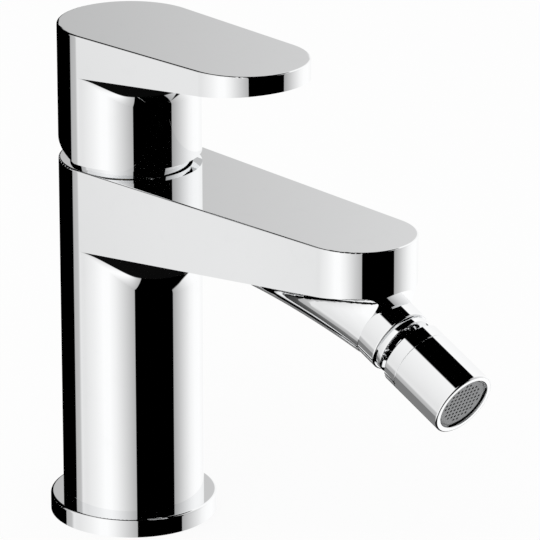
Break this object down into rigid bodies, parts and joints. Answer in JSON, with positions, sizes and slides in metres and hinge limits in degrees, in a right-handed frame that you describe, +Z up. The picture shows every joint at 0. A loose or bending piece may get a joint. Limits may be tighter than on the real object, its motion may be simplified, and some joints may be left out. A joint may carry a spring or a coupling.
{
  "type": "bidet mixer",
  "caption": "Deck-mounted single-lever bidet mixer: round column on a base ring, flat tapering spout and lever, and a ball-jointed outlet with a perforated aerator.",
  "frame": {"origin": "on the column's axis, in the plane of the deck that the base ring stands on", "axes": "+Z up along the column; the spout and the lever reach towards -Y; +X completes the frame, across the mixer"},
  "size_m": [0.0544, 0.1819, 0.1658],
  "materials": {
    "chrome_body": "mirror-polished chrome on cast brass",
    "chrome_ring": "mirror-polished chrome on turned brass",
    "chrome_dome": "mirror-polished chrome on brass",
    "chrome_lever": "mirror-polished chrome on cast zinc",
    "chrome_collar": "mirror-polished chrome on turned brass",
    "chrome_swivel": "mirror-polished chrome on turned brass",
    "screen_plastic": "satin moulded grey plastic",
    "brass_nut": "turned brass",
    "steel": "plain stainless steel",
    "plug_plastic": "moulded grey plastic",
    "cartridge_plastic": "moulded off-white plastic",
    "carrier_plastic": "moulded light plastic",
    "limit_plastic": "moulded red plastic",
    "bearing_plastic": "moulded slippery plastic",
    "aerator_plastic": "moulded grey plastic",
    "ceramic": "lapped white ceramic",
    "seal_rubber": "moulded black rubber",
    "gasket_rubber": "moulded black rubber"
  },
  "bodies": {
    "mixer": {"mixer_body": "chrome_body", "base_ring": "chrome_ring", "base_gasket": "gasket_rubber", "ring_seal": "seal_rubber", "cartridge_base": "cartridge_plastic", "inlet_seals": "seal_rubber", "disc_seals": "seal_rubber", "fixed_disc": "ceramic", "cartridge_housing": "cartridge_plastic", "housing_seal": "seal_rubber", "cartridge_nut": "brass_nut", "limit_ring": "limit_plastic", "dome_cap": "chrome_dome", "outlet_nipple": "chrome_collar", "nipple_washer": "seal_rubber"},
    "rotor": {"stem_carrier": "carrier_plastic", "pivot_pin": "steel"},
    "lever": {"lever": "chrome_lever", "lever_insert": "carrier_plastic", "set_screw": "steel", "index_plug": "plug_plastic", "cartridge_stem": "brass_nut"},
    "disc_slider": {"disc_coupler": "carrier_plastic", "moving_disc": "ceramic"},
    "liner": {"ball_liner": "bearing_plastic"},
    "seat": {"ball_seat": "bearing_plastic", "ball_seal": "seal_rubber"},
    "outlet": {"swivel_ring": "chrome_swivel", "aerator_sleeve": "chrome_swivel", "aerator_gasket": "seal_rubber", "aerator_body": "aerator_plastic", "flow_filter": "aerator_plastic", "flow_regulator": "aerator_plastic", "aerator_screen": "screen_plastic"}
  },
  "joints": [
    {"name": "temperature_turn", "type": "hinge", "parent": "mixer", "child": "rotor", "pos_m": [0, 0, 0.113], "axis": [0, 0, 1], "range_deg": [-50, 50]},
    {"name": "flow_lift", "type": "hinge", "parent": "rotor", "child": "lever", "pos_m": [0, 0, 0.113], "axis": [-1, 0, 0], "range_deg": [0, 20]},
    {"name": "disc_slide", "type": "slide", "parent": "rotor", "child": "disc_slider", "axis": [0, -1, 0], "range_m": [0, 0.0054]},
    {"name": "outlet_side_tilt", "type": "hinge", "parent": "mixer", "child": "liner", "pos_m": [0, -0.13489, 0.08538], "axis": [0, -0.4226, 0.9063], "range_deg": [-9, 9]},
    {"name": "outlet_up_tilt", "type": "hinge", "parent": "liner", "child": "seat", "pos_m": [0, -0.13489, 0.08538], "axis": [-1, 0, 0], "range_deg": [-9, 9]},
    {"name": "outlet_spin", "type": "hinge", "parent": "seat", "child": "outlet", "pos_m": [0, -0.13489, 0.08538], "axis": [0, -0.9063, -0.4226], "continuous": true}
  ],
  "couplings": [
    {"joint": "disc_slide", "follows": "flow_lift", "m_per_rad": 0.015187}
  ]
}
